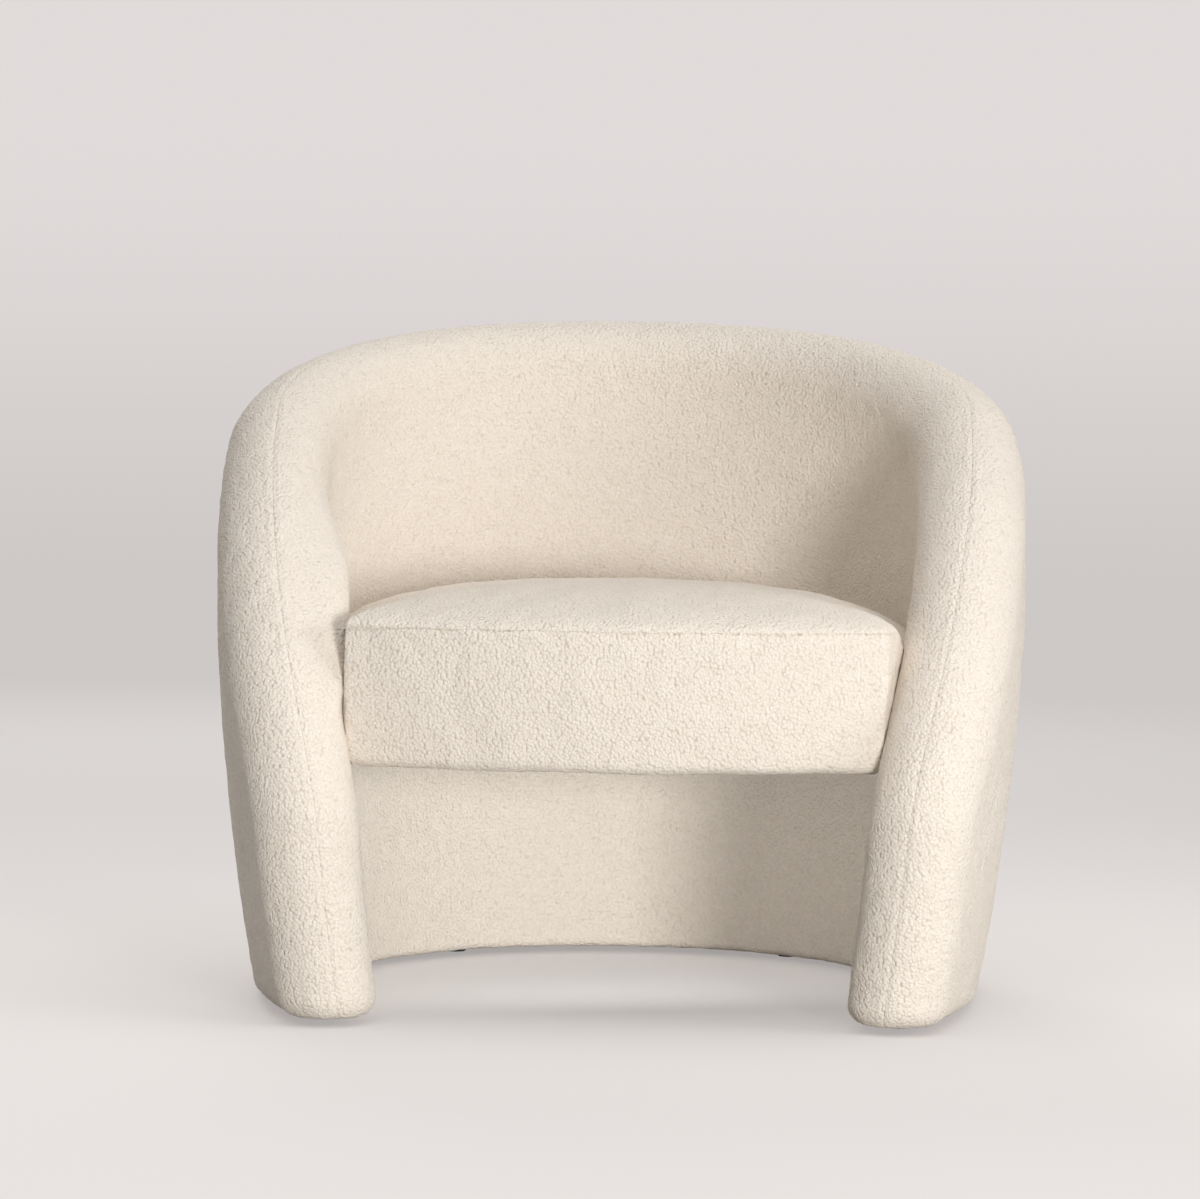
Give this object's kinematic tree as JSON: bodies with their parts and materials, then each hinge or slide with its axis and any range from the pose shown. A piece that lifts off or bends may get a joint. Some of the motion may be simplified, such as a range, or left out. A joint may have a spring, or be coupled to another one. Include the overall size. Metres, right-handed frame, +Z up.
{
  "type": "upholstered tub chair",
  "caption": "Tub chair with a thick curved shell that makes the back and both arms, closed to the floor, round a fixed crowned seat, all in looped cream fabric.",
  "frame": {"origin": "on the floor under the middle of the chair's box", "axes": "+Z up, -Y to the front, +X to the right as seen from the front"},
  "size_m": [0.819, 0.7647, 0.69],
  "materials": {
    "boucle": "looped, matt",
    "foam": "open cell, matt",
    "fibre": "loose fibre, matt",
    "fibreboard": "pressed, smooth",
    "plywood": "sanded, unfinished",
    "webbing": "woven",
    "dust_cloth": "spunbond, matt",
    "glide_plastic": "moulded, matt",
    "zinc_steel": "bright zinc plated",
    "yellow_zinc_steel": "yellow zinc plated"
  },
  "bodies": {
    "root": {"outer_cover": "boucle", "inner_cover": "boucle", "left_outer_foam": "foam", "back_outer_foam": "foam", "right_outer_foam": "foam", "left_inner_foam": "foam", "back_inner_foam": "foam", "right_inner_foam": "foam", "outer_board": "fibreboard", "inner_board": "fibreboard", "base_ring": "plywood", "seat_ledge": "plywood", "crest_rail": "plywood", "left_arm_post": "plywood", "right_arm_post": "plywood", "back_rib": "plywood", "left_rib_1": "plywood", "left_rib_2": "plywood", "left_rib_3": "plywood", "left_rib_4": "plywood", "right_rib_1": "plywood", "right_rib_2": "plywood", "right_rib_3": "plywood", "right_rib_4": "plywood", "seat_deck": "plywood", "front_rail": "plywood", "long_straps": "webbing", "cross_straps": "webbing", "seat_foam": "foam", "seat_fibre_wrap": "fibre", "seat_front_pad": "fibre", "seat_top_panel": "boucle", "seat_border": "boucle", "seat_dust_cloth": "dust_cloth", "base_dust_cloth": "dust_cloth", "glides": "glide_plastic", "glide_screws": "zinc_steel", "rib_screws": "yellow_zinc_steel", "seat_bolts": "zinc_steel", "bolt_washers": "zinc_steel", "tee_nuts": "zinc_steel", "rail_screws": "yellow_zinc_steel"}
  },
  "joints": []
}
